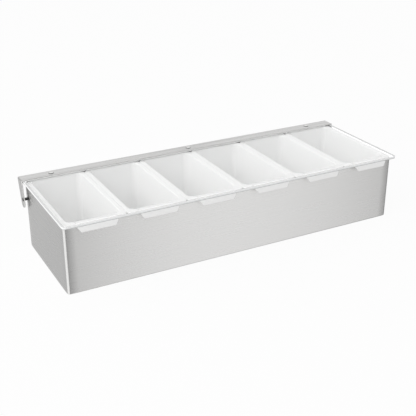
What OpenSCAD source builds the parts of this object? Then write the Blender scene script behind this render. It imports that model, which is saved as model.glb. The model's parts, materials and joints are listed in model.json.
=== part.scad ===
// Bar condiment caddy: an open-top sheet-steel housing, six lift-out moulded pots
// with pull lips, and one clear lid riveted to a folded hinge bar that swings on two side pins.
// Millimetres. Origin: centre of the housing's underside. +Z up, +X along the caddy, -Y is the front.

/* [Housing] */
// Length of the housing over its end walls
housing_w = 465; // [400:5:540]
// Depth of the housing over its front and rear walls
housing_d = 146; // [125:1:170]
// Height of the housing
housing_h = 85; // [70:1:110]
// Thickness of the housing's sheet
sheet_t = 0.8; // [0.6:0.1:1.5]
// Outer radius of the upright corner bends
corner_r = 3; // [2.5:0.5:6]
// Outer radius of the bend between the walls and the floor
floor_bend_r = 1.6; // [1.6:0.1:2.2]

/* [Pots] */
// Clearance between each end pot's rim and the end wall
end_clear = 0.6; // [0.4:0.1:4]
// Clearance between neighbouring rims
rim_gap = 0.3; // [0.2:0.1:1]
// How far the front rim stands past the front wall
rim_front_lap = 1; // [0.5:0.1:2]
// Thickness of the rim
rim_t = 2; // [1.5:0.1:3]
// Corner radius of the rim seen from above
rim_corner_r = 4; // [3:0.5:9]
// Radius of the rim's upper outer edge
rim_edge_r = 0.8; // [0.5:0.1:1.4]
// Width of the rim along the sides
rim_side = 6; // [5:0.5:8]
// Width of the rim along the front
rim_front_w = 7; // [6:0.5:11]
// Width of the rim along the rear
rim_rear_w = 3.2; // [3.2:0.1:8]
// Thickness of the pot's wall
pot_wall = 2; // [1.4:0.1:2.3]
// Draft of the pot's walls, in degrees
pot_draft = 1.5; // [1:0.5:5]
// Radius of the pot's inner upright corners at the top
pot_corner_r = 8; // [7:0.5:16]
// Radius between the pot's inner wall and its floor
pot_floor_r = 5; // [3:0.5:6]
// Radius where the rim turns down into the pot
mouth_r = 1.5; // [0.8:0.1:2.2]
// Space for ice between the pots and the housing's floor
ice_gap = 12; // [6:1:20]

/* [Pull lips] */
// Width of a pull lip along its upper edge
lip_w = 50.5; // [46:0.5:60]
// Width of a pull lip along its lower edge
lip_low_w = 41; // [34:0.5:45]
// How far a pull lip stands out from the rim
lip_reach = 7; // [6.5:0.1:10]
// How far the lip's lower edge stands out past its upper edge
lip_flare = 1; // [0:0.2:3]
// How far a pull lip hangs below the housing's top edge
lip_drop = 4.6; // [4:0.1:9]
// Thickness of a pull lip
lip_t = 2; // [1.5:0.1:2.4]
// Radius where a pull lip turns down
lip_bend_r = 2.6; // [2.5:0.1:3]
// Height of the lip's upper face above the rim, where the lid rests
lip_rise = 0.7; // [0.6:0.1:1.5]

/* [Lid] */
// Thickness of the clear lid
lid_t = 3; // [2:0.5:4]
// How far the lid stands out past the front wall
lid_front = 8.2; // [7:0.1:9]
// Radius of the lid's front corners
lid_corner_r = 5; // [2:0.5:12]
// How far the lid's rear edge lies inside the hinge bar's rear edge
lid_rear_set = 4; // [3:0.5:4.5]
// Clearance between the lid's end and a hinge arm
lid_end_clear = 1; // [0.5:0.1:1.5]
// Clearance between the closed lid and the pull lips it rests on
lid_seat_clear = 0.1; // [0.05:0.05:0.3]

/* [Hinge] */
// Depth of the hinge bar
bar_d = 16; // [15:0.5:20]
// Thickness of the hinge bar and its arms
bar_t = 1.5; // [1:0.1:2]
// How far the hinge bar stands out behind the rear wall
bar_rear = 12; // [11.5:0.5:14]
// Gap between the end wall and a hinge arm
arm_gap = 3.5; // [2.5:0.1:5]
// Inner radius of the fold between the bar and an arm
fold_r = 0.6; // [0.4:0.1:1]
// Radius of the rounded end of a hinge arm
arm_end_r = 6.5; // [5.5:0.5:7]
// How far the centre of an arm's rounded end lies behind the pin's axis
arm_end_back = 3; // [0:0.5:4]
// How far the centre of an arm's rounded end lies below the pin's axis
arm_end_drop = 5.5; // [0:0.5:7]
// Height of the pivot pin's axis below the housing's top edge
pin_drop = 17.5; // [16:0.5:26]
// Radius of the pivot pin's shank
pin_r = 1.2; // [1:0.1:1.6]
// Radial clearance of the pin in an arm and in its sleeve
pin_clear = 0.06; // [0.03:0.01:0.1]
// Radius of the pivot pin's head
pin_head_r = 2.4; // [2:0.1:3]
// Height of the pivot pin's domed head
pin_head_h = 1; // [0.6:0.1:1.6]
// Wall of the sleeve that spaces an arm from the end wall
sleeve_wall = 0.6; // [0.4:0.1:1.4]
// End play between a sleeve and an arm, and between an arm and the pin's head
end_play = 0.1; // [0.05:0.05:0.2]
// Radius of the pin's retainer inside the housing
retainer_r = 2.3; // [2:0.1:3]
// Gap between the pin's retainer and the bend at the housing's rear corner
retainer_gap = 0.2; // [0.1:0.1:1]
// Thickness of the pin's retainer
retainer_t = 1; // [0.6:0.1:1.5]

/* [Rivets] */
// Distance of an outer rivet from the end of the hinge bar
rivet_inset = 41.5; // [20:0.5:90]
// Radius of a rivet's shank
rivet_r = 1.6; // [1:0.1:2]
// Radius of a rivet's domed head
rivet_head_r = 3.4; // [2.6:0.1:4]
// Height of a rivet's domed head
rivet_head_h = 0.9; // [0.5:0.1:1.5]
// Radius of the washer under the lid
washer_r = 3.2; // [2.6:0.1:3.4]
// Thickness of the washer under the lid
washer_t = 0.5; // [0.3:0.1:0.8]
// Radial clearance of a rivet in its holes
rivet_clear = 0.1; // [0.05:0.05:0.2]
// Radius of the upset tail under the washer
tail_r = 2.4; // [2.2:0.1:2.6]
// Height of the upset tail
tail_h = 0.6; // [0.4:0.1:0.9]

/* [Hidden] */

ROUND = 48; // facets of exact round cuts and shafts
CORNER_STEPS = 7; // steps round one upright corner of a pot
FILLET_STEPS = 4; // steps round one moulded fillet
CUT = 1; // how far a cut runs past the face it opens

// Housing faces
front_y = -housing_d/2;
rear_y = housing_d/2;
inner_w = housing_w - 2*sheet_t;

// Pots in a row between the end walls
pot_count = 6;
rim_w = (inner_w - 2*end_clear - (pot_count - 1)*rim_gap)/pot_count;
pitch = rim_w + rim_gap;
rim_top = housing_h + rim_t;
rim_front = front_y - rim_front_lap;
rim_d = rear_y - rim_front;
rim_mid = (rear_y + rim_front)/2;
mouth_w = rim_w - 2*rim_side;
mouth_front = rim_front + rim_front_w;
mouth_rear = rear_y - rim_rear_w;
mouth_d = mouth_rear - mouth_front;
mouth_mid = (mouth_rear + mouth_front)/2;
pot_floor = sheet_t + ice_gap;

// Pull lips
lip_top = rim_top + lip_rise;
lip_low = housing_h - lip_drop;
lip_face = rim_front - lip_reach;
lip_mid_z = (lip_top + lip_low)/2;

// Lid and bar, stacked on the lips
lid_low = lip_top + lid_seat_clear;
lid_top = lid_low + lid_t;
bar_top = lid_top + bar_t;
bar_rear_y = rear_y + bar_rear;
bar_front_y = bar_rear_y - bar_d;
bar_mid_y = (bar_rear_y + bar_front_y)/2;
lid_front_y = front_y - lid_front;
lid_rear_y = bar_rear_y - lid_rear_set;

// Hinge arms and pins
arm_in = housing_w/2 + arm_gap;
arm_out = arm_in + bar_t;
fold_z = lid_top - fold_r;
lid_w = 2*(arm_in - lid_end_clear);
pin_y = rear_y - corner_r - retainer_gap - retainer_r;
pin_z = housing_h - pin_drop;
arm_end_y = pin_y + arm_end_back;
arm_end_z = pin_z - arm_end_drop;
sleeve_r = pin_r + pin_clear + sleeve_wall;
rivet_x = arm_out - rivet_inset;

// A rectangle with round corners, centred on [0, 0]
module round_rect(w, d, r) {
    square([w - 2*r, d], center = true);
    square([w, d - 2*r], center = true);
    for (sx = [-1, 1], sy = [-1, 1])
        translate([sx*(w/2 - r), sy*(d/2 - r)]) circle(r, $fn = ROUND);
}

// A round shaft or hole along X
module along_x(x, length, r) {
    translate([x, pin_y, pin_z]) rotate([0, 90, 0]) cylinder(h = length, r = r, $fn = ROUND);
}

// Section of the housing's wall and of its bend to the floor, x outwards from a corner's centre
module wall_section() {
    translate([corner_r - sheet_t, floor_bend_r]) square([sheet_t, housing_h - floor_bend_r]);
    translate([corner_r - floor_bend_r, 0])
        intersection() {
            translate([0, floor_bend_r])
                difference() {
                    circle(floor_bend_r, $fn = ROUND);
                    circle(floor_bend_r - sheet_t, $fn = ROUND);
                }
            square(floor_bend_r);
        }
}

// Sheet-steel tray: the wall's section runs straight along each side and turns round each corner
module housing() {
    color([0.78, 0.78, 0.77])
    difference() {
        union() {
            linear_extrude(sheet_t)
                round_rect(
                    housing_w - 2*floor_bend_r, housing_d - 2*floor_bend_r, corner_r - floor_bend_r
                );
            for (turn = [0, 180]) rotate(turn) {
                translate([0, housing_d/2 - corner_r, 0]) rotate([90, 0, 90])
                    linear_extrude(housing_w - 2*corner_r, center = true) wall_section();
                translate([housing_w/2 - corner_r, 0, 0]) rotate([90, 0, 0])
                    linear_extrude(housing_d - 2*corner_r, center = true) wall_section();
                translate([housing_w/2 - corner_r, housing_d/2 - corner_r, 0])
                    rotate_extrude(angle = 90, $fn = ROUND) wall_section();
                translate([corner_r - housing_w/2, housing_d/2 - corner_r, 0]) rotate(90)
                    rotate_extrude(angle = 90, $fn = ROUND) wall_section();
            }
        }
        along_x(-housing_w/2 - CUT, housing_w + 2*CUT, pin_r + pin_clear);
    }
}

// Points of one level of a pot: a rectangle with round corners about Y = mid, counter-clockwise
function level(mid, w, d, r, z) = [
    for (corner = [0:3], step = [0:CORNER_STEPS])
        let (a = 90*corner + 90*step/CORNER_STEPS,
             sx = (corner == 0 || corner == 3) ? 1 : -1,
             sy = corner < 2 ? 1 : -1)
            [sx*(w/2 - r) + r*cos(a), mid + sy*(d/2 - r) + r*sin(a), z]
];

// A level of the drafted cup: grow is the distance outside the mouth's outline
function cup_level(grow, z) =
    level(mouth_mid, mouth_w + 2*grow, mouth_d + 2*grow, max(0.5, pot_corner_r + grow), z);

// A level of the rim: in is the distance inside its outline
function rim_level(in, z) = level(rim_mid, rim_w - 2*in, rim_d - 2*in, rim_corner_r - in, z);

// How far the drafted wall has come in at height z
function draft_in(z) = -(rim_top - z)*tan(pot_draft);

// Rings of the whole pot, from the middle of its underside, up the outside and down the inside
floor_out_r = pot_floor_r + pot_wall;
pot_levels = concat(
    [for (i = [0:FILLET_STEPS])
        let (a = 90*i/FILLET_STEPS, z = pot_floor + floor_out_r*(1 - cos(a)))
            cup_level(draft_in(z) + pot_wall - floor_out_r*(1 - sin(a)), z)],
    [cup_level(draft_in(housing_h) + pot_wall, housing_h)],
    [for (z = [housing_h, rim_top - rim_edge_r]) rim_level(0, z)],
    [for (i = [1:FILLET_STEPS])
        let (a = 90*i/FILLET_STEPS)
            rim_level(rim_edge_r*(1 - cos(a)), rim_top - rim_edge_r*(1 - sin(a)))],
    [for (i = [0:FILLET_STEPS])
        let (a = 90*i/FILLET_STEPS, z = rim_top - mouth_r*(1 - cos(a)))
            cup_level(draft_in(z) + mouth_r*(1 - sin(a)), z)],
    [for (i = [FILLET_STEPS:-1:0])
        let (a = 90*i/FILLET_STEPS, z = pot_floor + pot_wall + pot_floor_r*(1 - cos(a)))
            cup_level(draft_in(z) - pot_floor_r*(1 - sin(a)), z)]
);

// Joins levels with equal point counts into one closed solid
module loft(levels) {
    n = len(levels[0]);
    last = len(levels) - 1;
    polyhedron(
        points = [for (ring = levels) each ring],
        faces = concat(
            [[for (i = [0:n - 1]) i]],
            [for (k = [0:last - 1], i = [0:n - 1])
                let (j = (i + 1)%n)
                    each [[k*n + i, (k + 1)*n + i, (k + 1)*n + j], [k*n + i, (k + 1)*n + j, k*n + j]]],
            [[for (i = [n - 1:-1:0]) last*n + i]]
        ),
        convexity = 6
    );
}

// Points of an arc about [y, z]
function arc(y, z, r, from, to) = [
    for (i = [0:FILLET_STEPS])
        let (a = from + (to - from)*i/FILLET_STEPS) [y + r*cos(a), z + r*sin(a)]
];

// Section of a pull lip in the YZ plane: a shelf that turns down over the front wall
module lip_section() {
    foot_y = lip_face - lip_flare;
    polygon(concat(
        [[rim_front + rim_front_w/2, lip_top]],
        arc(lip_face + lip_bend_r, lip_top - lip_bend_r, lip_bend_r, 90, 180),
        arc(foot_y + lip_t/2, lip_low + lip_t/2, lip_t/2, 180, 360),
        arc(lip_face + lip_bend_r, lip_top - lip_bend_r, lip_bend_r - lip_t, 180, 90),
        [[rim_front, lip_top - lip_t], [rim_front, housing_h], [rim_front + rim_front_w/2, housing_h]]
    ));
}

// Front view of a pull lip: wide at the rim, narrower at its lower edge, with round lower corners
module lip_outline() {
    r = lip_t;
    lean = (lip_w - lip_low_w)/2/(lip_top - lip_low);
    turn = atan(lean);
    centre_x = lip_low_w/2 - r*tan((90 - turn)/2);
    right = concat(
        [for (i = [0:FILLET_STEPS])
            let (a = -90 + (90 - turn)*i/FILLET_STEPS)
                [centre_x + r*cos(a), lip_low + r + r*sin(a)]],
        [[lip_w/2, lip_top], [lip_w/2, lip_top + CUT]]
    );
    polygon(concat(right, [for (i = [len(right) - 1:-1:0]) [-right[i][0], right[i][1]]]));
}

// Pull lip, cut to its front outline
module pull_lip() {
    intersection() {
        rotate([90, 0, 90]) linear_extrude(lip_w + 2*CUT, center = true) lip_section();
        translate([0, mouth_front, 0]) rotate([90, 0, 0])
            linear_extrude(rim_front_w + lip_reach + lip_flare + CUT) lip_outline();
    }
}

// One moulded pot: drafted cup, flat rim with rounded edge, and pull lip
module pot(number) {
    color([0.95, 0.95, 0.94])
    translate([(number - (pot_count + 1)/2)*pitch, 0, 0]) {
        difference() {
            union() {
                loft(pot_levels);
                pull_lip();
            }
            // the lip's root stays off the pot's mouth
            translate([0, mouth_mid, rim_top])
                cube([mouth_w, mouth_d, 2*lip_rise], center = true);
        }
    }
}

// Clear flat lid with rivet holes along its rear edge
module lid_panel() {
    lid_d = lid_rear_y - lid_front_y;
    color([0.9, 0.95, 0.97, 0.35])
    difference() {
        translate([0, (lid_rear_y + lid_front_y)/2, lid_low])
            linear_extrude(lid_t) round_rect(lid_w, lid_d, lid_corner_r);
        rivet_holes();
    }
}

// Holes for the three rivets, through lid and bar
module rivet_holes() {
    for (x = [-rivet_x, 0, rivet_x])
        translate([x, bar_mid_y, lid_low - CUT])
            cylinder(h = lid_t + bar_t + 2*CUT, r = rivet_r + rivet_clear, $fn = ROUND);
}

// Angle at which the tangent from [dy, dz] touches a circle of radius r about an arm's round end
function touch_angle(dy, dz, r, side) = atan2(dz, dy) + side*acos(r/norm([dy, dz]));

// Outline of a hinge arm in the YZ plane: as deep as the bar above, leaning forward to its round end
module arm_outline() {
    dz = fold_z - arm_end_z;
    rear = touch_angle(bar_rear_y - arm_end_y, dz, arm_end_r, -1);
    front = touch_angle(bar_front_y - arm_end_y, dz, arm_end_r, 1);
    polygon([
        [bar_front_y, fold_z], [bar_rear_y, fold_z],
        [arm_end_y + arm_end_r*cos(rear), arm_end_z + arm_end_r*sin(rear)],
        [arm_end_y, arm_end_z],
        [arm_end_y + arm_end_r*cos(front), arm_end_z + arm_end_r*sin(front)]
    ]);
    translate([arm_end_y, arm_end_z]) circle(arm_end_r, $fn = ROUND);
}

// Flat strip with both ends folded down into arms
module hinge_bar() {
    fold_out_r = fold_r + bar_t;
    color([0.8, 0.8, 0.79])
    difference() {
        union() {
            translate([-arm_in + fold_r, bar_front_y, lid_top])
                cube([2*(arm_in - fold_r), bar_d, bar_t]);
            for (side = [-1, 1]) {
                // quarter fold
                translate([side*(arm_in - fold_r), bar_rear_y, fold_z]) rotate([90, 0, 0])
                    linear_extrude(bar_d) intersection() {
                        difference() {
                            circle(fold_out_r, $fn = ROUND);
                            circle(fold_r, $fn = ROUND);
                        }
                        translate([side > 0 ? 0 : -fold_out_r, 0]) square(fold_out_r);
                    }
                // arm
                translate([side > 0 ? arm_in : -arm_out, 0, 0]) rotate([90, 0, 90])
                    linear_extrude(bar_t) arm_outline();
            }
        }
        rivet_holes();
        along_x(-arm_out - CUT, 2*(arm_out + CUT), pin_r + pin_clear);
    }
}

// Low dome by revolving a circular arc, flat side down at z = 0
module dome(r, h) {
    ball_r = (r*r + h*h)/(2*h);
    rotate_extrude($fn = ROUND)
        intersection() {
            translate([0, h - ball_r]) circle(ball_r, $fn = 4*ROUND);
            square([r, h]);
        }
}

// Rivet: domed head on the bar, shank through bar, lid and washer, upset tail
module lid_rivet(x) {
    low = lid_low - washer_t;
    color([0.72, 0.72, 0.72])
    translate([x, bar_mid_y, 0]) {
        translate([0, 0, bar_top]) dome(rivet_head_r, rivet_head_h);
        translate([0, 0, low]) cylinder(h = bar_top - low, r = rivet_r, $fn = ROUND);
        translate([0, 0, low]) mirror([0, 0, 1]) dome(tail_r, tail_h);
    }
}

// Washer that spreads a rivet's load under the clear lid
module rivet_washer(x) {
    color([0.7, 0.7, 0.7])
    translate([x, bar_mid_y, lid_low - washer_t])
        difference() {
            cylinder(h = washer_t, r = washer_r, $fn = ROUND);
            translate([0, 0, -CUT]) cylinder(h = washer_t + 2*CUT, r = rivet_r + rivet_clear, $fn = ROUND);
        }
}

// Pivot pin: domed head outside the arm, shank through arm, sleeve and end wall
module pivot_pin(side) {
    head_x = arm_out + end_play;
    tip_x = inner_w/2 - 2*retainer_t;
    color([0.3, 0.3, 0.31])
    mirror([side < 0 ? 1 : 0, 0, 0]) {
        along_x(tip_x, head_x - tip_x, pin_r);
        translate([head_x, pin_y, pin_z]) rotate([0, 90, 0]) dome(pin_head_r, pin_head_h);
    }
}

// Sleeve that keeps an arm off the end wall
module spacer_sleeve(side) {
    color([0.08, 0.08, 0.08])
    mirror([side < 0 ? 1 : 0, 0, 0])
        difference() {
            along_x(housing_w/2, arm_gap - end_play, sleeve_r);
            along_x(housing_w/2 - CUT, arm_gap + 2*CUT, pin_r + pin_clear);
        }
}

// Push-on retainer on the pin's tip inside the housing
module pin_retainer(side) {
    color([0.6, 0.6, 0.6])
    mirror([side < 0 ? 1 : 0, 0, 0])
        difference() {
            along_x(inner_w/2 - retainer_t, retainer_t, retainer_r);
            along_x(inner_w/2 - retainer_t - CUT, retainer_t + 2*CUT, pin_r);
        }
}

housing();
pot(1);  // pot_1
pot(2);  // pot_2
pot(3);  // pot_3
pot(4);  // pot_4
pot(5);  // pot_5
pot(6);  // pot_6
lid_panel();
hinge_bar();
lid_rivet(-rivet_x);  // lid_rivet_left
lid_rivet(0);  // lid_rivet_centre
lid_rivet(rivet_x);  // lid_rivet_right
rivet_washer(-rivet_x);  // rivet_washer_left
rivet_washer(0);  // rivet_washer_centre
rivet_washer(rivet_x);  // rivet_washer_right
pivot_pin(-1);  // pivot_pin_left
pivot_pin(1);  // pivot_pin_right
spacer_sleeve(-1);  // spacer_sleeve_left
spacer_sleeve(1);  // spacer_sleeve_right
pin_retainer(-1);  // pin_retainer_left
pin_retainer(1);  // pin_retainer_right
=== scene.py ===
"""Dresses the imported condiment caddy: brushed housing, moulded pots and a clear lid on its hinge bar."""

import functools
import json
import math

import bmesh
import bpy
import numpy as np
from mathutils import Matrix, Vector


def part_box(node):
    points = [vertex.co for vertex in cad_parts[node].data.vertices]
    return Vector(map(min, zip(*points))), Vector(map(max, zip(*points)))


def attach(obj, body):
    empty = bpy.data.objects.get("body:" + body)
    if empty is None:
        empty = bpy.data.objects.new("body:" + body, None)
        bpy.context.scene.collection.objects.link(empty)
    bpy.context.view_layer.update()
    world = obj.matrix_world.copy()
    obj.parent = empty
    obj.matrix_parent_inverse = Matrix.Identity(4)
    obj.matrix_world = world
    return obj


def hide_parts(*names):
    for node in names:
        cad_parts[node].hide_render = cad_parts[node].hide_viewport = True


bl_info = {
    "name": "Condiment caddy",
    "version": (1, 0, 0),
    "blender": (4, 5, 0),
    "location": "View3D > Sidebar > Caddy",
    "description": "Steel caddy with lift-out moulded pots and a clear flip-up lid",
    "category": "Add Mesh",
}

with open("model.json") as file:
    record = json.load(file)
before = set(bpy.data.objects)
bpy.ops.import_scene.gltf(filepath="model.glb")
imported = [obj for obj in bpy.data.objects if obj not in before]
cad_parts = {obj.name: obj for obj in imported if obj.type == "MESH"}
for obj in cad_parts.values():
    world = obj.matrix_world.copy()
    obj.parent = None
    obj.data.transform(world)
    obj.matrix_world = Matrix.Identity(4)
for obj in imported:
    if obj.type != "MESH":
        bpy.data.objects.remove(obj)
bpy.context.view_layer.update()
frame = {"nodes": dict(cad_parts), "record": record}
MM = 0.001

RECORD = frame["record"]
BODY_OF = {n: body for body, nodes in RECORD["behaviour"]["bodies"].items() for n in nodes}
POTS = sorted(n for n in frame["nodes"] if n.startswith("pot_"))
SIDES = {"left": -1, "right": 1}
PLACES = ("left", "centre", "right")

CORNER_STEPS = 18  # steps round an upright corner
FILLET_STEPS = 8  # steps round a moulded or bent fillet
EDGE_STEPS = 3  # steps round a softened edge
DRAW_STEPS = 10  # steps along the part of a wall that draws in towards a bend
TURN_STEPS = 48  # steps round a turned piece
ARM_END_STEPS = 21  # steps round the end of a hinge arm
ARM_STEPS = 5  # steps up the straight part of a hinge arm

ARM_END_ARC = (0.02, 0.62 * math.pi)  # where the arm's round end starts and stops, from straight below
TIP_SHARE = 0.999  # a round tip stops just short of its pole, where its points would meet
EDGE_SHARE = 0.98  # the most of a strip's half thickness that the radius of its edges may take
RING_EDGE = 0.08 * MM  # radius of the outer edges of washers, sleeves and retainers
MERGE = 1e-7  # points closer than this are one point

CUT_FACING = 0.7  # a face of the bar is a sheared edge where its normal's Y part is larger
INNER_FACING = 0.5  # and an inner face where its normal's X part, towards the housing, is larger
SIDE_FACING = 0.9  # a face of the lid belongs to its edge where its normal's Z part is smaller
FLAT_FACING = 0.999  # and is shaded flat where that part is larger

# Each softbox (bright) or flag (dark) fades in over two bearings and out over the next two, in degrees
# to the right of straight ahead. The last number is its strength.
SOFTBOXES = (
    ((16, 27, 38, 45), 0.3),  # softbox at the front right
    ((40, 46, 100, 125), -0.4),  # flag on the right
    ((-7, 1, 10, 18), -0.5),  # narrow flag straight ahead
    ((-125, -100, -40, -8), 0.35),  # broad softbox on the left
    ((-169, -162, -130, -115), -0.18),  # flag at the rear left
    ((110, 130, 181, 182), 0.1),  # softbox at the rear right
)


def length(name, millimetres, description, low=0.0):
    """A length property whose default is written in millimetres."""
    return bpy.props.FloatProperty(
        name=name, description=description, default=millimetres * MM, min=low, unit="LENGTH", precision=5
    )


def angle(name, degrees, description):
    """An angle property whose default is written in degrees."""
    return bpy.props.FloatProperty(
        name=name, description=description, default=math.radians(degrees), subtype="ANGLE"
    )


def share(name, value, description):
    """A number between 0 and 1."""
    return bpy.props.FloatProperty(
        name=name, description=description, default=value, min=0, max=1, subtype="FACTOR"
    )


def tint(name, colour, description):
    """A colour property."""
    return bpy.props.FloatVectorProperty(
        name=name, description=description, default=colour, size=3, min=0, max=1, subtype="COLOR"
    )


class CaddySteelSettings(bpy.types.PropertyGroup):
    """Sizes and looks of the folded sheet-steel pieces."""

    sheet: length("Housing sheet", 0.8, "Thickness of the housing's sheet")
    corner: length("Corner bend", 3, "Outer radius of the housing's upright corners")
    draw_in: length("Draw-in", 0.4, "How far a wall draws in towards a bend")
    draw_reach: length("Draw-in reach", 14, "How far from a bend a wall starts to draw in")
    floor_bend: length("Floor bend", 1.6, "Outer radius of the bend from the walls to the floor")
    bar_sheet: length("Bar sheet", 1.5, "Thickness of the hinge bar and its arms")
    fold: length("Arm fold", 0.6, "Inner radius of the fold between the bar and an arm")
    arm_end: length("Arm end", 6.5, "Radius of the rounded end of an arm")
    arm_end_back: length("Arm end back", 3, "How far the arm end's centre lies behind the pin")
    arm_end_drop: length("Arm end drop", 5.5, "How far the arm end's centre lies below the pin")
    edge: length("Deburred edge", 0.2, "Radius of the sheet's cut edges")
    colour: tint("Steel", (0.72, 0.717, 0.71), "Colour of the brushed steel")
    roughness: share("Roughness", 0.28, "Roughness of the brushed steel")
    brushing: share("Brushing", 0.95, "How far reflections spread across the grain")
    groove: length("Groove", 0.1, "Depth of the brushed grooves")


class CaddyShadeStripSettings(bpy.types.PropertyGroup):
    """Sizes of the black strip along the top of the rear wall, a dark sheet of painted shade."""

    thickness: length("Strip thickness", 1, "Thickness of the strip")
    height: length("Strip height", 4, "Height of the strip")
    rise: length("Strip rise", 1.4, "How far the strip stands up past the wall")
    end: length("Strip end", 3, "How far the strip ends before the housing's ends")
    edge: length("Strip edge", 0.3, "Radius of the strip's edges")


class CaddyPotSettings(bpy.types.PropertyGroup):
    """Sizes and looks of the moulded pots."""

    rim: length("Rim", 2, "Thickness of the rim")
    rim_corner: length("Rim corner", 4, "Radius of the rim's front corners")
    rim_rear_corner: length("Rear rim corner", 7, "Radius of the rim's rear corners")
    rim_edge: length("Rim edge", 0.8, "Radius of the rim's upper outer edge")
    rim_side: length("Side rim", 6, "Width of the rim along the sides")
    rim_front: length("Front rim", 7, "Width of the rim along the front")
    rim_rear: length("Rear rim", 3.2, "Width of the rim along the rear")
    wall: length("Wall", 2, "Thickness of the pot's wall")
    draft: angle("Draft", 1.5, "Draft of the walls")
    corner: length("Inner corner", 8, "Radius of the inner upright corners at the top")
    floor_radius: length("Floor fillet", 5, "Radius between the inner wall and the floor")
    rim_root: length("Rim root", 0.2, "Radius where the outer wall meets the rim's underside")
    mouth: length("Mouth", 1.5, "Radius where the rim turns down into the pot")
    lip_width: length("Lip width", 50.5, "Width of the pull lip along its upper edge")
    lip_low_width: length("Lip lower width", 41, "Width of the pull lip along its lower edge")
    lip_reach: length("Lip reach", 7, "How far the pull lip stands out from the rim")
    lip_flare: length("Lip flare", 1, "How far its lower edge stands out past its upper edge")
    lip_drop: length("Lip drop", 4.6, "How far the lip hangs below the housing's top edge")
    lip: length("Lip thickness", 2, "Thickness of the pull lip")
    lip_bend: length("Lip bend", 2.6, "Radius where the pull lip turns down")
    lip_rise: length("Lip rise", 0.7, "Height of the lip's upper face above the rim")
    lip_edge: length("Lip edge", 0.5, "Radius of the pull lip's edges")
    colour: tint("Plastic", (0.97, 0.97, 0.965), "Colour of the moulded plastic")
    roughness: share("Roughness", 0.34, "Roughness of the moulded plastic")


class CaddyLidSettings(bpy.types.PropertyGroup):
    """Sizes and looks of the clear lid, its rivets and its pins."""

    corner: length("Corner", 5, "Radius of the lid's corners")
    edge: length("Polished edge", 0.35, "Radius of the lid's polished edges")
    # the haze along the lid's sides is painted grey as shade
    haze_start: length("Haze start", 3.2, "Distance from the edge at which the haze starts")
    haze_full: length("Full haze", 1.8, "Distance from the edge at which the haze is full")
    # the sheet edge's dark line is painted shade and its pale part painted light
    dark_line: length("Dark line", 0.5, "Height of the dark line along the sheet's lower arris")
    pale_edge: length("Pale edge", 1.2, "Height from which the sheet's edge is pale")
    hole: length("Rivet hole", 1.7, "Radius of a rivet hole")
    rivet: length("Rivet shank", 1.6, "Radius of a rivet's shank")
    rivet_head: length("Rivet head", 3.4, "Radius of a rivet's domed head")
    rivet_tail: length("Rivet tail", 2.4, "Radius of a rivet's upset tail")
    tail_height: length("Tail height", 0.6, "Height of a rivet's upset tail")
    # the rivet head's lowest band is painted dark as shade where it meets the bar
    painted_seat_shade: length("Painted seat shade", 0.35, "Height of the grime round a rivet's head")
    painted_seat_shade_end: length("Grime end", 0.65, "Height at which the grime has faded out")
    pin: length("Pin", 1.2, "Radius of the pivot pin's shank")
    pin_head_height: length("Pin head", 1, "Height of the pivot pin's domed head")
    running_gap: length("Running gap", 0.06, "Radial clearance of the pin in its sleeve")
    colour: tint("Clear plastic", (0.996, 0.998, 0.998), "Colour of the clear plastic")


class CaddyStageSettings(bpy.types.PropertyGroup):
    """Camera and studio light."""

    lens: bpy.props.FloatProperty(name="Lens", description="Focal length", default=69.43, unit="CAMERA")
    azimuth: angle("Azimuth", -28.12, "Camera's turn round the caddy")
    elevation: angle("Elevation", 24.66, "Camera's height as an angle")
    distance: length("Distance", 1085.1, "Distance from the camera to the middle of the base")
    aim_right: length("Aim right", -8.9, "Camera's shift to its right", low=-1.0)
    aim_up: length("Aim up", 28.8, "Camera's shift upwards", low=-1.0)
    backdrop: tint("Backdrop", (1, 1, 1), "Colour of the floor and the backdrop")
    floor_grey: share("Floor grey", 0.8, "Level of the floor where light falls on it")
    floor_glow: share("Floor glow", 0.94, "How much of the floor's brightness is the same all over")
    ambient: share("Ambient", 0.55, "Level of the light from the sides")
    overhead: share("Overhead", 0.18, "How much brighter the light from straight above is")
    side: share("Side", 0.45, "How much brighter the light from the left is")
    room: share("Room", 0.77, "What metal and gloss reflect between the softboxes")


class Value:
    """A shader value that takes part in Python expressions: each operator adds a Math node."""

    def __init__(self, finish, socket):
        self.finish = finish
        self.socket = socket

    def __add__(self, other):
        return self.finish.calc("ADD", self, other)

    __radd__ = __add__

    def __sub__(self, other):
        return self.finish.calc("SUBTRACT", self, other)

    def __rsub__(self, other):
        return self.finish.calc("SUBTRACT", other, self)

    def __mul__(self, other):
        return self.finish.calc("MULTIPLY", self, other)

    __rmul__ = __mul__


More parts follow.
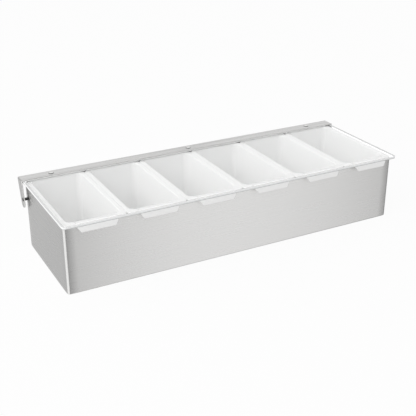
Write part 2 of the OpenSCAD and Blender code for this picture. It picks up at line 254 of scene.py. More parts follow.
class Finish:
    """A node tree under construction, for a material or the world."""

    def __init__(self, owner):
        owner.use_nodes = True
        self.owner = owner
        self.tree = owner.node_tree
        self.tree.nodes.clear()

    def node(self, kind, inputs=None, output=0, **settings):
        """Adds one node: its settings first, then the values or links of its sockets."""
        made = self.tree.nodes.new("ShaderNode" + kind)
        for key, value in settings.items():
            setattr(made, key, value)
        for key, value in (inputs or {}).items():
            if isinstance(value, Value):
                self.tree.links.new(value.socket, made.inputs[key])
            else:
                made.inputs[key].default_value = value
        return Value(self, made.outputs[output]) if made.outputs else made

    def calc(self, operation, *values):
        """One Math node on values and numbers."""
        return self.node("Math", dict(enumerate(values)), operation=operation)

    def step(self, value, start, end):
        """A smooth step: 0 where the value is start, and 1 where it is end."""
        inputs = {"Value": value, "From Min": start, "From Max": end}
        return self.node("MapRange", inputs, interpolation_type="SMOOTHSTEP")

    def place(self):
        """The Object coordinates."""
        return self.node("TexCoord", output="Object")

    def axes(self, vector):
        """A vector's X, Y and Z."""
        return [self.node("SeparateXYZ", {"Vector": vector}, output=i) for i in range(3)]

    def noise(self, place, scale, detail=3.0):
        """Noise stretched by a scale for each axis, in units per metre. One number scales all three."""
        scale = scale if isinstance(scale, tuple) else (scale,) * 3
        stretched = self.node("Mapping", {"Vector": place, "Scale": scale})
        return self.node("TexNoise", {"Vector": stretched, "Scale": 1.0, "Detail": detail})

    def ray(self, *kinds):
        """1 for rays of any of these kinds, and 0 for the rest."""
        flags = (self.node("LightPath", output=f"Is {kind} Ray") for kind in kinds)
        return functools.reduce(functools.partial(self.calc, "MAXIMUM"), flags)

    def mix(self, factor, first, second):
        """Colour mix of first and second."""
        return self.node("Mix", {"Factor": factor, 6: first, 7: second}, output=2, data_type="RGBA")

    def blend(self, factor, first, second):
        """Shader mix of first and second."""
        return self.node("MixShader", {"Fac": factor, 1: first, 2: second})

    def surface(self, shader):
        """Gives a material its surface, and returns the material."""
        self.node("OutputMaterial", {"Surface": shader})
        return self.owner


def material(name):
    """A new material's empty node tree."""
    return Finish(bpy.data.materials.new(name))


def rgba(colour, level=1.0):
    """A colour as four numbers, with each channel times a level."""
    return (*(channel * level for channel in colour), 1.0)


def grey(level):
    """A neutral colour as four numbers."""
    return rgba((level, level, level))


def brushed_steel(name, steel, fine, coarse):
    """Brushed stainless: fine and coarse streaks along the grain over slow cloudy variation."""
    finish = material(name)
    place = finish.place()
    streaks = finish.noise(place, fine) * 0.5 + finish.noise(place, coarse) * 0.5
    clouds = finish.noise(place, 9, detail=2.0)
    tone = streaks * 0.75 + clouds * 0.25
    inputs = {
        "Base Color": finish.mix(tone, rgba(steel.colour, 0.9), rgba(steel.colour, 1.1)),
        "Metallic": 1.0,
        "Roughness": steel.roughness + (tone - 0.5) * 0.16,
        "Anisotropic": steel.brushing,
        "Anisotropic Rotation": 0.25,
        "Normal": finish.node("Bump", {"Strength": 0.12, "Distance": steel.groove, "Height": streaks}),
    }
    return finish.surface(finish.node("BsdfPrincipled", inputs))


def plain_metal(name, colour, roughness, level=1.0):
    """Turned, stamped or sheared metal with a faintly uneven surface."""
    finish = material(name)
    marks = finish.noise(finish.place(), 900)
    inputs = {
        "Base Color": finish.mix(marks, rgba(colour, 0.9 * level), rgba(colour, 1.1 * level)),
        "Metallic": 1.0,
        "Roughness": roughness + (marks - 0.5) * 0.2,
    }
    return finish.surface(finish.node("BsdfPrincipled", inputs))


def rivet_metal(name, lid, seat):
    """Polished rivet steel, with a painted dark line of shade where a head meets the bar it sits on."""
    finish = material(name)
    place = finish.place()
    marks = finish.noise(place, 900)
    # painted shade: the head darkens towards its seat on the bar
    painted_seat_shade = finish.step(finish.axes(place)[2], seat + lid.painted_seat_shade_end, seat + lid.painted_seat_shade)
    polished = finish.mix(marks, rgba((0.78, 0.78, 0.77)), rgba((0.9, 0.9, 0.89)))
    inputs = {
        "Base Color": finish.mix(painted_seat_shade * (0.8 + marks * 0.2), polished, grey(0.06)),
        "Metallic": 1.0,
        "Roughness": 0.25 + painted_seat_shade * 0.3,
    }
    return finish.surface(finish.node("BsdfPrincipled", inputs))


def moulded_plastic(name, colour, roughness, specular=0.5):
    """Satin moulded plastic: slow clouds in tone and a fine moulded texture."""
    finish = material(name)
    place = finish.place()
    clouds = finish.noise(place, 22, detail=2.0)
    texture = finish.noise(place, 1400, detail=2.0)
    inputs = {
        "Base Color": finish.mix(clouds, rgba(colour, 0.985), rgba(colour, 1.01)),
        "Roughness": roughness + (clouds - 0.5) * 0.08,
        "Specular IOR Level": specular,
        "Normal": finish.node("Bump", {"Strength": 0.08, "Distance": 0.08 * MM, "Height": texture}),
    }
    return finish.surface(finish.node("BsdfPrincipled", inputs))


def clear_plastic(name, lid, middle, half_w, half_d):
    """Clear sheet: glass to the eye, and open to the light that reaches what lies under it.

    Its faces are slightly hazy along the border, where the saw and the polish have worked on them, and
    the haze is painted grey along the sides as shade, where the pots' pull lips do not light it from below.
    """
    finish = material(name)
    place = finish.place()
    rubbing = finish.noise(place, (14, 60, 14))
    inputs = {
        "Base Color": rgba(lid.colour),
        "Roughness": rubbing * 0.02,
        "IOR": 1.49,
        "Transmission Weight": 1.0,
    }
    glass = finish.node("BsdfPrincipled", inputs)
    open_sheet = finish.node("BsdfTransparent", {"Color": rgba(lid.colour, 0.975)})
    clear = finish.blend(finish.ray("Shadow", "Diffuse"), glass, open_sheet)
    x, y, _ = finish.axes(place)
    side, front = (
        finish.step(half - finish.calc("ABSOLUTE", value - centre), lid.haze_start, lid.haze_full)
        for value, centre, half in zip((x, y), middle, (half_w, half_d))
    )
    # painted shade: the haze turns grey along the sides
    tone = finish.mix(side, rgba((0.96, 0.965, 0.965)), rgba((0.7, 0.705, 0.705)))
    haze = finish.node("BsdfPrincipled", {"Base Color": tone, "Roughness": 0.4})
    strength = finish.calc("MAXIMUM", side * 0.75, front * 0.42) + rubbing * side * 0.2
    return finish.surface(finish.blend(strength, clear, haze))


def sheet_edge(name, lid, low):
    """The sheet's polished edge in painted light and shade: pale above as painted light, and a painted dark
    line of shade along its lower arris.
    """
    finish = material(name)
    place = finish.place()
    upper = finish.step(finish.axes(place)[2], low + lid.dark_line, low + lid.pale_edge)
    marks = finish.noise(place, (300, 300, 60))
    # painted light and shade: pale upper part, dark lower arris
    dark, pale = rgba((0.58, 0.59, 0.59)), rgba((0.97, 0.975, 0.975))
    inputs = {
        "Base Color": finish.mix(upper + (marks - 0.5) * 0.2, dark, pale),
        "Roughness": 0.25 + marks * 0.2,
    }
    edge = finish.node("BsdfPrincipled", inputs)
    open_edge = finish.node("BsdfTransparent", {"Color": pale})
    return finish.surface(finish.blend(finish.ray("Shadow", "Diffuse"), edge, open_edge))


def corner_ring(half_a, half_b, radius, steps, far_radius=None):
    """Rectangles with round corners, counter-clockwise, one row for each ring.

    A point is its corner's centre plus the radius times (cos, sin) of a turn that runs once round.
    The two corners on the positive side of b may have a radius of their own, the far radius.
    """
    quarter = np.linspace(0, math.pi / 2, steps + 1)
    turn = (np.arange(4)[:, None] * math.pi / 2 + quarter).ravel()
    side_a = np.repeat([1, -1, -1, 1], steps + 1)
    side_b = np.repeat([1, 1, -1, -1], steps + 1)
    half_a, half_b, radius = (np.asarray(v, float)[:, None] for v in (half_a, half_b, radius))
    if far_radius is not None:
        radius = np.where(side_b > 0, np.asarray(far_radius, float)[:, None], radius)
    a = side_a * (half_a - radius) + radius * np.cos(turn)
    b = side_b * (half_b - radius) + radius * np.sin(turn)
    return a, b


def bent_ring(half_a, half_b, radius, draw_in, reach):
    """A ring like corner_ring's for folded sheet, whose walls draw in a little towards each bend.

    A point lies `near` one wall and `far` along it from the bend. It moves in from that wall by
    draw_in * (1 - far / reach) ** 2 within the reach.
    """
    quarter = np.linspace(0, math.pi / 2, CORNER_STEPS + 1)
    half_a, half_b, radius = (np.asarray(v, float)[:, None] for v in (half_a, half_b, radius))
    run = radius + (reach - radius) * np.linspace(0, 1, DRAW_STEPS + 1)[1:]
    flat = 0 * run
    near = np.concatenate([flat, radius * (1 - np.cos(quarter)), run], axis=1)
    far = near[:, ::-1]
    near, far = (
        value + draw_in * np.clip(1 - other / reach, 0, None) ** 2
        for value, other in ((near, far), (far, near))
    )
    a = np.concatenate([half_a - near, far - half_a, near - half_a, half_a - far], axis=1)
    b = np.concatenate([half_b - far, half_b - near, far - half_b, near - half_b], axis=1)
    return a, b


def arc(centre_a, centre_b, radius, start, end, steps):
    """Points of a circle's arc between two angles in degrees, as one row for each point."""
    turn = np.radians(np.linspace(start, end, steps + 1))
    return np.column_stack([centre_a + radius * np.cos(turn), centre_b + radius * np.sin(turn)])


def skin(rings, closed=False):
    """Quads between neighbouring rings of a grid. An open run of rings gets a face at both ends."""
    count, points = rings.shape[:2]
    index = np.arange(count * points).reshape(count, points)
    here = index if closed else index[:-1]
    above = np.roll(index, -1, axis=0) if closed else index[1:]
    corners = (here, np.roll(here, -1, axis=1), np.roll(above, -1, axis=1), above)
    faces = np.stack(corners, axis=-1).reshape(-1, 4).tolist()
    if not closed:
        faces += [index[0][::-1].tolist(), index[-1].tolist()]
    return rings.reshape(-1, 3), faces


def revolve(profile, centre, axis, closed=False):
    """A turned shape: each profile point (radius, height) goes once round an axis through the centre."""
    axis = np.asarray(axis, float)
    side = np.cross(axis, [0, 1, 0] if abs(axis[1]) < 0.5 else [1, 0, 0])
    other = np.cross(axis, side)
    turn = np.linspace(0, 2 * math.pi, TURN_STEPS, endpoint=False)
    spoke = np.cos(turn)[:, None] * side + np.sin(turn)[:, None] * other
    rings = np.asarray(centre) + profile[:, 0, None, None] * spoke + profile[:, 1, None, None] * axis
    return skin(rings, closed)


def strip(path, normal, half_thick, low, high, across, edge):
    """A strip of sheet: a thin rectangle with soft edges, carried along a path.

    At each path point it reaches half_thick along the normal and from low to high along `across`.
    """
    middle, half_width = (high + low) / 2, (high - low) / 2
    radius = np.minimum(edge, EDGE_SHARE * np.minimum(half_thick, half_width))
    thick, wide = corner_ring(half_thick, half_width, radius, EDGE_STEPS)
    wide = wide + middle[:, None]
    rings = path[:, None] + thick[..., None] * normal[:, None] + wide[..., None] * np.asarray(across)
    return skin(rings)


def tidy_mesh(mesh):
    """Merges the points that meet at poles and turns every face outwards."""
    work = bmesh.new()
    work.from_mesh(mesh)
    bmesh.ops.remove_doubles(work, verts=work.verts, dist=MERGE)
    bmesh.ops.recalc_face_normals(work, faces=work.faces)
    work.to_mesh(mesh)
    work.free()


def solid(name, shells, finish, even=True):
    """One finished object from closed shells.

    Even shading weighs the normals by face area. It is left off where long triangles fill a flat face.
    """
    vertices, faces, count = [], [], 0
    for points, corners in shells:
        vertices.append(points)
        faces += [[count + i for i in face] for face in corners]
        count += len(points)
    mesh = bpy.data.meshes.new(name)
    mesh.from_pydata(np.concatenate(vertices).tolist(), [], faces)
    tidy_mesh(mesh)
    mesh.polygons.foreach_set("use_smooth", [True] * len(mesh.polygons))
    mesh.materials.append(finish)
    made = bpy.data.objects.new(mesh.name, mesh)
    bpy.context.scene.collection.objects.link(made)
    if even:
        made.modifiers.new("Even shading", "WEIGHTED_NORMAL")
    return made


def dress(node, suffix, shells, finish, even=True):
    """One finished piece in place of a CAD node and on its body."""
    made = solid(f"{node}_{suffix}", shells, finish, even)
    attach(made, BODY_OF[node])
    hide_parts(node)
    return made


def level_rings(middle_x, middle_y, half_w, half_d, radius, height, rear_radius=None):
    """Rings of a loft: at each height one rectangle with round corners, about its own middle."""
    x, y = corner_ring(half_w, half_d, radius, CORNER_STEPS, rear_radius)
    middle_x, middle_y, z = (np.reshape(value, (-1, 1)) + 0 * x for value in (middle_x, middle_y, height))
    return np.stack([x + middle_x, y + middle_y, z], axis=-1)


class CADDY_OT_housing(bpy.types.Operator):
    """Make the brushed housing: the wall's section carried once round the corners."""

    bl_idname = "caddy.housing"
    bl_label = "Housing"

    def execute(self, context):
        steel = context.scene.caddy_steel
        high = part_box("housing")[1]
        inner = steel.floor_bend - steel.sheet
        section = np.concatenate(
            [
                arc(steel.floor_bend, steel.floor_bend, steel.floor_bend, 270, 180, FILLET_STEPS),
                arc(steel.edge, high.z - steel.edge, steel.edge, 180, 90, EDGE_STEPS),
                arc(steel.sheet - steel.edge, high.z - steel.edge, steel.edge, 90, 0, EDGE_STEPS),
                arc(steel.floor_bend, steel.floor_bend, inner, 180, 270, FILLET_STEPS),
            ]
        )
        inset, height = section.T
        size = (high.x - inset, high.y - inset, steel.corner - inset)
        x, y = bent_ring(*size, steel.draw_in, steel.draw_reach)
        rings = np.stack([x, y, height[:, None] + 0 * x], axis=-1)
        finish = brushed_steel("Brushed housing steel", steel, (14, 14, 1500), (5, 5, 330))
        dress("housing", "skin", [skin(rings)], finish)
        return {"FINISHED"}


class CADDY_OT_shade_strip(bpy.types.Operator):
    """Make the black strip on the rear wall: painted shade that darkens the gaps between the rims' round
    corners.
    """

    bl_idname = "caddy.seal"
    bl_label = "Rear shade strip"

    def execute(self, context):
        shade_strip = context.scene.caddy_seal
        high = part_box("housing")[1]
        half = shade_strip.thickness / 2
        path = np.array([[-1.0, 0, 0], [1.0, 0, 0]]) * (high.x - shade_strip.end) + [0, high.y + half, 0]
        normal = np.tile([0.0, 1.0, 0.0], (2, 1))
        top = high.z + shade_strip.rise
        section = (np.full(2, half), np.full(2, top - shade_strip.height), np.full(2, top))
        # painted shade: the strip is near black so that the gaps between the rims' corners look dark
        finish = moulded_plastic("Black painted shade strip", (0.015, 0.015, 0.015), 0.7, specular=0.2)
        made = solid("rear_shade_strip", [strip(path, normal, *section, (0, 0, 1), shade_strip.edge)], finish)
        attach(made, BODY_OF["housing"])
        return {"FINISHED"}


class CADDY_OT_pots(bpy.types.Operator):
    """Make the six moulded pots with their pull lips."""

    bl_idname = "caddy.pots"
    bl_label = "Pots"

    def execute(self, context):
        pot = context.scene.caddy_pots
        finish = moulded_plastic("White moulded plastic", pot.colour, pot.roughness)
        for node in POTS:
            dress(node, "moulding", [self.cup(node, pot), self.lip(node, pot)], finish)
        return {"FINISHED"}

    def cup(self, node, pot):
        """The drafted cup and its rim, from the underside up the outside and down the inside."""
        low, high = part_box(node)
        top = high.z - pot.lip_rise
        front = low.y + pot.lip_reach + pot.lip_flare
        middle = (high.x + low.x) / 2
        rim_y, mouth_y = (high.y + front) / 2, (high.y - pot.rim_rear + front + pot.rim_front) / 2
        half_w, half_d = (high.x - low.x) / 2, (high.y - front) / 2
        slope = math.tan(pot.draft)
        outer_fillet = pot.floor_radius + pot.wall
        floor = low.z + pot.wall
        mouth_w, mouth_d = half_w - pot.rim_side, half_d - (pot.rim_front + pot.rim_rear) / 2
        under_rim = top - pot.rim

        def cup_rows(grow, height):
            """Rows of middle, half width, half depth, radius, height and rear radius of the drafted cup."""
            grow = grow - (top - height) * slope
            radius = np.maximum(pot.corner + grow, pot.lip_edge)
            middle_y = 0 * grow + mouth_y
            return np.column_stack([middle_y, mouth_w + grow, mouth_d + grow, radius, height, radius])

        def rim_rows(inset, height):
            """The same rows for the rim's outline."""
            middle_y, half = 0 * inset + rim_y, (half_w - inset, half_d - inset)
            front_radius, rear_radius = pot.rim_corner - inset, pot.rim_rear_corner - inset
            return np.column_stack([middle_y, *half, front_radius, height, rear_radius])

        outside = arc(outer_fillet, low.z + outer_fillet, outer_fillet, 270, 180, FILLET_STEPS)
        root = arc(0, under_rim - pot.rim_root, pot.rim_root, 0, 90, EDGE_STEPS)
        edge = arc(pot.rim_edge, top - pot.rim_edge, pot.rim_edge, 180, 90, FILLET_STEPS)
        mouth = arc(0, top - pot.mouth, pot.mouth, 90, 0, FILLET_STEPS)
        inside = arc(-pot.floor_radius, floor + pot.floor_radius, pot.floor_radius, 0, -90, FILLET_STEPS)
        rows = np.concatenate(
            [
                cup_rows(pot.wall - outside[:, 0], outside[:, 1]),
                cup_rows(pot.wall + pot.rim_root - root[:, 0], root[:, 1]),
                rim_rows(np.array([pot.lip_edge, 0.0]), np.array([under_rim, under_rim + pot.lip_edge])),
                rim_rows(edge[:, 0], edge[:, 1]),
                cup_rows(pot.mouth - mouth[:, 0], mouth[:, 1]),
                cup_rows(inside[:, 0], inside[:, 1]),
            ]
        )
        return skin(level_rings(middle, *rows.T))

    def lip(self, node, pot):
        """The pull lip: a strip that runs out of the rim, turns down and flares, with slanted ends."""
        low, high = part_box(node)
        front = low.y + pot.lip_reach + pot.lip_flare
        face = front - pot.lip_reach
        half = pot.lip / 2
        bend = pot.lip_bend - half
        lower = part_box("housing")[1].z - pot.lip_drop
        lean = math.atan2(pot.lip_flare, high.z - pot.lip_bend - lower)
        turn = arc(face + pot.lip_bend, high.z - pot.lip_bend, bend, 90, 180, FILLET_STEPS)
        foot_y = low.y + half
        foot_z = lower + half
        tip = np.sin(np.linspace(0, math.pi / 2, EDGE_STEPS + 2))[1:] * half * TIP_SHARE
        down = np.column_stack([foot_y - tip * math.sin(lean), foot_z - tip * math.cos(lean)])
        root = [[front + pot.rim_front / 2, high.z - half]]
        line = np.concatenate([root, turn, [[foot_y, foot_z]], down])
        run = np.gradient(line, axis=0)
        run[-len(tip):] = run[-len(tip) - 1]
        run /= np.linalg.norm(run, axis=1)[:, None]
        half_thick = np.full(len(line), half)
        half_thick[-len(tip):] = np.sqrt(half**2 - tip**2)
        path = np.column_stack([np.full(len(line), (low.x + high.x) / 2), line])
        normal = np.column_stack([np.zeros(len(line)), run[:, 1], -run[:, 0]])
        reach = self.lip_half_width(pot, line[:, 1] - lower, high.z - lower)
        return strip(path, normal, half_thick, -reach, reach, (1, 0, 0), pot.lip_edge)

    def lip_half_width(self, pot, above, total):
        """Half the lip's width at a height above its lower edge.

        It is a straight slant with a round lower corner.
        """
        lean = (pot.lip_width - pot.lip_low_width) / 2 / total
        straight = pot.lip_low_width / 2 + lean * above
        radius = pot.lip
        centre = pot.lip_low_width / 2 - radius * math.tan((math.pi / 2 - math.atan(lean)) / 2)
        inside = np.clip(radius**2 - (np.minimum(above, radius) - radius) ** 2, 0, None)
        return np.minimum(straight, np.where(above < radius, centre + np.sqrt(inside), straight))


class CADDY_OT_lid(bpy.types.Operator):
    """Make the clear lid with its polished edges and rivet holes."""

    bl_idname = "caddy.lid"
    bl_label = "Lid"

    def execute(self, context):
        lid = context.scene.caddy_lid
        low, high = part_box("lid_panel")
        middle = ((low.x + high.x) / 2, (low.y + high.y) / 2)
        section = np.concatenate(
            [
                arc(lid.edge, low.z + lid.edge, lid.edge, 270, 180, EDGE_STEPS),
                arc(lid.edge, high.z - lid.edge, lid.edge, 180, 90, EDGE_STEPS),
            ]
        )
        inset, height = section.T
        half_w, half_d = high.x - middle[0] - inset, high.y - middle[1] - inset
        rings = level_rings(*middle, half_w, half_d, lid.corner - inset, height)
        bore = np.array([[lid.hole, low.z], [lid.hole, high.z]])
        holes = [revolve(bore, foot(*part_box(f"lid_rivet_{place}")), (0, 0, 1)) for place in PLACES]
        shells = [(points, faces[:-2]) for points, faces in (skin(rings), *holes)]
        finish = clear_plastic("Clear plastic sheet", lid, middle, max(half_w), max(half_d))
        made = dress("lid_panel", "sheet", shells, finish, even=False)
        made.data.materials.append(sheet_edge("Polished sheet edge", lid, low.z))
        self.fill_faces(made.data, min(half_w) - lid.corner, min(half_d) - lid.corner, middle)
        return {"FINISHED"}

    def fill_faces(self, mesh, half_w, half_d, middle):
        """Fills the two open levels, turns all faces outwards and gives the outer edge its own finish."""
        work = bmesh.new()
        work.from_mesh(mesh)
        levels = {}
        for edge in work.edges:
            if edge.is_boundary:
                levels.setdefault(round(edge.verts[0].co.z, 6), []).append(edge)
        for edges in levels.values():
            bmesh.ops.triangle_fill(work, use_beauty=True, edges=edges)
        bmesh.ops.recalc_face_normals(work, faces=work.faces)
        for face in work.faces:
            place = face.calc_center_median()
            outer = abs(place.x - middle[0]) > half_w or abs(place.y - middle[1]) > half_d
            face.material_index = int(outer and abs(face.normal.z) < SIDE_FACING)
            face.smooth = abs(face.normal.z) < FLAT_FACING
        work.to_mesh(mesh)
        work.free()


class CADDY_OT_hinge_bar(bpy.types.Operator):
    """Make the folded hinge bar: one strip with an arm at each end that leans forward to its pin."""

    bl_idname = "caddy.hinge_bar"
    bl_label = "Hinge bar"

    def execute(self, context):
        steel = context.scene.caddy_steel
        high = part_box("hinge_bar")[1]
        pin_low, pin_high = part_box("pivot_pin_right")
        end_y = (pin_low.y + pin_high.y) / 2 + steel.arm_end_back
        end_z = (pin_low.z + pin_high.z) / 2 - steel.arm_end_drop
        rear, front = high.y, high.y - self.bar_depth()
        half = steel.bar_sheet / 2
        fold_z = high.z - steel.bar_sheet - steel.fold
        arm_x = high.x - half
        bend = steel.fold + half
        round_end = end_z - steel.arm_end * np.cos(np.linspace(*ARM_END_ARC, ARM_END_STEPS + 1))
        arm_z = np.concatenate([round_end, np.linspace(round_end[-1], fold_z, ARM_STEPS + 1)[1:]])
        reach = {
            side: self.arm_side(arm_z, y, fold_z, end_y, end_z, steel.arm_end, side)
            for side, y in ((-1, front), (1, rear))
        }
        turn = arc(arm_x - bend, fold_z, bend, 0, 90, FILLET_STEPS)[1:]
        count = len(turn)
        half_path = np.concatenate([np.column_stack([np.full(len(arm_z), arm_x), arm_z]), turn])
        front_y = np.concatenate([reach[-1], np.full(count, front)])
        rear_y = np.concatenate([reach[1], np.full(count, rear)])
        facing = np.concatenate(
            [np.tile([1.0, 0.0], (len(arm_z), 1)), arc(0, 0, 1, 0, 90, FILLET_STEPS)[1:]]
        )
        mirror = np.array([-1.0, 1.0])
        line = np.concatenate([half_path, half_path[::-1] * mirror])
        out = np.concatenate([facing, facing[::-1] * mirror])
        flat = np.zeros(len(line))
        path = np.column_stack([line[:, 0], flat, line[:, 1]])
        normal = np.column_stack([out[:, 0], flat, out[:, 1]])
        shell = strip(
            path,
            normal,
            np.full(len(line), half),
            np.concatenate([front_y, front_y[::-1]]),
            np.concatenate([rear_y, rear_y[::-1]]),
            (0, 1, 0),
            steel.edge,
        )
        finish = brushed_steel("Brushed bar steel", steel, (14, 1500, 300), (6, 500, 100))
        made = dress("hinge_bar", "strip", [shell], finish)
        made.data.materials.append(plain_metal("Sheared bar edge", steel.colour, 0.5, level=1.15))
        # the inner faces get a near-black copy of the steel as painted shade, for the shaded gap between each
        # arm and the housing
        made.data.materials.append(plain_metal("Painted shade inner steel", steel.colour, 0.55, level=0.15))
        for face in made.data.polygons:
            cut = abs(face.normal.y) > CUT_FACING
            inner = face.normal.x * math.copysign(1, face.center.x) < -INNER_FACING
            face.material_index = 1 if cut else 2 if inner else 0
        return {"FINISHED"}

    def bar_depth(self):
        """Depth of the bar's flat part: the rivets lie in its middle."""
        rivet_low, rivet_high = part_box("lid_rivet_centre")
        return 2 * (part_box("hinge_bar")[1].y - (rivet_low.y + rivet_high.y) / 2)

    def arm_side(self, z, bar_y, fold_z, end_y, end_z, radius, side):
        """Y of an arm's front (-1) or rear (1) edge: the round end, then the tangent up to the bar."""
        dy, dz = bar_y - end_y, fold_z - end_z
        touch = math.atan2(dz, dy) - side * math.acos(radius / math.hypot(dy, dz))
        touch_y, touch_z = end_y + radius * math.cos(touch), end_z + radius * math.sin(touch)
        chord = np.sqrt(np.clip(radius**2 - (z - end_z) ** 2, 0, None))
        along = touch_y + (bar_y - touch_y) * (z - touch_z) / (fold_z - touch_z)
        return np.where(z < touch_z, end_y + side * chord, along)


class CADDY_OT_rivets(bpy.types.Operator):
    """Make the rivets and their washers."""

    bl_idname = "caddy.rivets"
    bl_label = "Rivets"

    def execute(self, context):
        lid = context.scene.caddy_lid
        finish = rivet_metal("Polished rivet steel", lid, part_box("hinge_bar")[1].z)
        for place in PLACES:
            self.rivet(f"lid_rivet_{place}", lid, finish)
            self.washer(f"rivet_washer_{place}", lid, finish)
        return {"FINISHED"}

    def rivet(self, node, lid, finish):
        """Domed head, shank and upset tail in one turned profile."""
        low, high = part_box(node)
        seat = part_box("hinge_bar")[1].z
        tail = low.z + lid.tail_height
        profile = np.concatenate(
            [
                dome(lid.rivet_head, seat, high.z, 3)[::-1],
                [[lid.rivet, seat], [lid.rivet, tail]],
                dome(lid.rivet_tail, tail, low.z),
            ]
        )
        dress(node, "turned", [revolve(profile, foot(low, high), (0, 0, 1))], finish)

    def washer(self, node, lid, finish):
        """Flat ring with softened outer edges."""
        low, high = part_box(node)
        profile = ring_profile(lid.hole, (high.x - low.x) / 2, low.z, high.z)
        dress(node, "stamped", [revolve(profile, foot(low, high), (0, 0, 1), closed=True)], finish)


def foot(low, high):
    """The point of the base below the middle of a box."""
    return ((low.x + high.x) / 2, (low.y + high.y) / 2, 0)


def dome(radius, base, top, power=2):
    """Profile of a shallow dome from its edge to its pole, fuller for a higher power.

    At radius r its height is the rise times the root of 1 - (r / radius) ** power.
    """
    reach = np.cos(np.linspace(0, math.pi / 2, FILLET_STEPS + 1))
    return np.column_stack([radius * reach, base + (top - base) * np.sqrt(1 - reach**power)])


def ring_profile(hole, radius, low, high):
    """Closed section of a flat ring or sleeve, with softened outer edges."""
    return np.concatenate(
        [
            [[hole, low]],
            arc(radius - RING_EDGE, low + RING_EDGE, RING_EDGE, -90, 0, EDGE_STEPS),
            arc(radius - RING_EDGE, high - RING_EDGE, RING_EDGE, 0, 90, EDGE_STEPS),
            [[hole, high]],
        ]
    )


class CADDY_OT_pivots(bpy.types.Operator):
    """Make the pivot pins, their sleeves and their retainers."""

    bl_idname = "caddy.pivots"
    bl_label = "Pivots"

    def execute(self, context):
        lid = context.scene.caddy_lid
        dark = plain_metal("Dark pin steel", (0.1, 0.1, 0.1), 0.4)
        black = moulded_plastic("Black sleeve plastic", (0.02, 0.02, 0.02), 0.5)
        plain = plain_metal("Plain retainer steel", (0.6, 0.6, 0.59), 0.3)
        for side_name, side in SIDES.items():
            self.pin(f"pivot_pin_{side_name}", side, lid, dark)
            self.ring(f"spacer_sleeve_{side_name}", side, lid.pin + lid.running_gap, black)
            self.ring(f"pin_retainer_{side_name}", side, lid.pin, plain)
        return {"FINISHED"}

    def pin(self, node, side, lid, finish):
        """Domed head and plain shank, turned about X."""
        near, far, radius, centre = self.measure(*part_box(node))
        seat = far - lid.pin_head_height
        shank = [[0, near], [lid.pin, near], [lid.pin, seat]]
        profile = np.concatenate([shank, dome(radius, seat, far)])
        dress(node, "turned", [revolve(profile, centre, (side, 0, 0))], finish)

    def ring(self, node, side, hole, finish):
        """A sleeve or retainer round the pin."""
        near, far, radius, centre = self.measure(*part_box(node))
        profile = ring_profile(hole, radius, near, far)
        dress(node, "ring", [revolve(profile, centre, (side, 0, 0), closed=True)], finish)

    def measure(self, low, high):
        """A piece's two ends along X from the middle, its radius, and the point of its axis at the middle."""
        near, far = sorted((abs(low.x), abs(high.x)))
        return near, far, (high.z - low.z) / 2, (0, (low.y + high.y) / 2, (low.z + high.z) / 2)


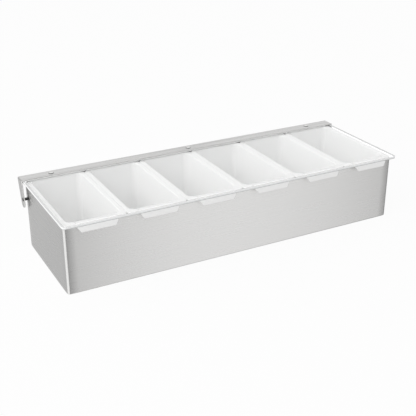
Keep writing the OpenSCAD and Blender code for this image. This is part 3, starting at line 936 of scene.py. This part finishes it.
class CADDY_OT_stage(bpy.types.Operator):
    """Set the floor, the studio light and the camera."""

    bl_idname = "caddy.stage"
    bl_label = "Stage"

    def execute(self, context):
        stage = context.scene.caddy_stage
        context.scene.view_settings.view_transform = "Standard"
        self.floor(stage)
        self.world(stage)
        self.key_lamp()
        self.camera(stage)
        return {"FINISHED"}

    def floor(self, stage):
        """A wide pale floor that keeps a faint shadow. Reflections look past it to the softboxes."""
        half = 6.0
        mesh = bpy.data.meshes.new("floor")
        corners = [(-half, -half, 0), (half, -half, 0), (half, half, 0), (-half, half, 0)]
        mesh.from_pydata(corners, [], [(0, 1, 2, 3)])
        made = bpy.data.objects.new("floor", mesh)
        bpy.context.scene.collection.objects.link(made)
        finish = material("Pale floor")
        diffuse = finish.node("BsdfDiffuse", {"Color": rgba(stage.backdrop, stage.floor_grey)})
        glow = finish.node("Emission", {"Color": rgba(stage.backdrop), "Strength": 1.0})
        past = finish.node("BsdfTransparent", {"Color": grey(1.0)})
        seen = finish.blend(finish.ray("Camera", "Transmission") * stage.floor_glow, diffuse, glow)
        mesh.materials.append(finish.surface(finish.blend(finish.ray("Glossy"), seen, past)))

    def world(self, stage):
        """Light that grows upwards and to the left, a white backdrop and softboxes for reflections."""
        world = bpy.data.worlds.new("Studio")
        bpy.context.scene.world = world
        finish = Finish(world)
        x, y, rise = finish.axes(finish.node("TexCoord", output="Generated"))
        ambient = stage.ambient + stage.overhead * finish.calc("MAXIMUM", rise, 0.0)
        ambient = ambient + stage.side * finish.calc("MAXIMUM", 0 - x, 0.0)
        seen, glossy = finish.ray("Camera", "Transmission"), finish.ray("Glossy")
        mirrored = self.softboxes(finish, stage.room, x, y)
        level = ambient + seen * (1 - ambient) + glossy * (mirrored - ambient)
        shader = finish.node("Background", {"Color": rgba(stage.backdrop), "Strength": level})
        finish.node("OutputWorld", {"Surface": shader})

    def softboxes(self, finish, room, x, y):
        """What metal and gloss reflect at each bearing: bright softboxes and dark flags in a pale room."""
        bearing = finish.calc("ARCTAN2", x, 0 - y) * math.degrees(1)
        for (start, full, fading, end), strength in SOFTBOXES:
            shown = finish.step(bearing, start, full) - finish.step(bearing, fading, end)
            room = room + strength * shown
        return room

    def key_lamp(self):
        """A large soft lamp high on the left."""
        light = bpy.data.lights.new("key", "AREA")
        light.size = 1.0
        light.energy = 12
        made = bpy.data.objects.new("key", light)
        made.location = (-1.6, -0.35, 1.35)
        made.rotation_euler = (-made.location).to_track_quat("-Z", "Y").to_euler()
        bpy.context.scene.collection.objects.link(made)

    def camera(self, stage):
        """The photograph's viewing angle: behind the aim point by the distance, shifted right and up."""
        data = bpy.data.cameras.new("camera")
        data.lens = stage.lens
        data.sensor_width = 36
        made = bpy.data.objects.new("camera", data)
        turn, rise = stage.azimuth, stage.elevation
        back = Vector((math.sin(turn) * math.cos(rise), -math.cos(turn) * math.cos(rise), math.sin(rise)))
        right = Vector((math.cos(turn), math.sin(turn), 0))
        up = back.cross(right)
        made.location = back * stage.distance + right * stage.aim_right + up * stage.aim_up
        made.rotation_euler = (-back).to_track_quat("-Z", "Y").to_euler()
        bpy.context.scene.collection.objects.link(made)
        bpy.context.scene.camera = made


class CADDY_PT_panel(bpy.types.Panel):
    """Lists the caddy's operators."""

    bl_idname = "CADDY_PT_panel"
    bl_label = "Condiment caddy"
    bl_space_type = "VIEW_3D"
    bl_region_type = "UI"
    bl_category = "Caddy"

    def draw(self, context):
        for operator in OPERATORS:
            self.layout.operator(operator.bl_idname)


SETTINGS = {
    "caddy_steel": CaddySteelSettings,
    "caddy_seal": CaddyShadeStripSettings,
    "caddy_pots": CaddyPotSettings,
    "caddy_lid": CaddyLidSettings,
    "caddy_stage": CaddyStageSettings,
}
OPERATORS = (
    CADDY_OT_stage,
    CADDY_OT_housing,
    CADDY_OT_shade_strip,
    CADDY_OT_pots,
    CADDY_OT_lid,
    CADDY_OT_hinge_bar,
    CADDY_OT_rivets,
    CADDY_OT_pivots,
)


def register():
    for name, group in SETTINGS.items():
        bpy.utils.register_class(group)
        setattr(bpy.types.Scene, name, bpy.props.PointerProperty(type=group))
    for made in (*OPERATORS, CADDY_PT_panel):
        bpy.utils.register_class(made)


def unregister():
    for made in (CADDY_PT_panel, *reversed(OPERATORS)):
        bpy.utils.unregister_class(made)
    for name, group in SETTINGS.items():
        delattr(bpy.types.Scene, name)
        bpy.utils.unregister_class(group)


def main():
    """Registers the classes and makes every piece."""
    register()
    for operator in OPERATORS:
        group, name = operator.bl_idname.split(".")
        getattr(getattr(bpy.ops, group), name)()


if __name__ == "__main__":
    main()
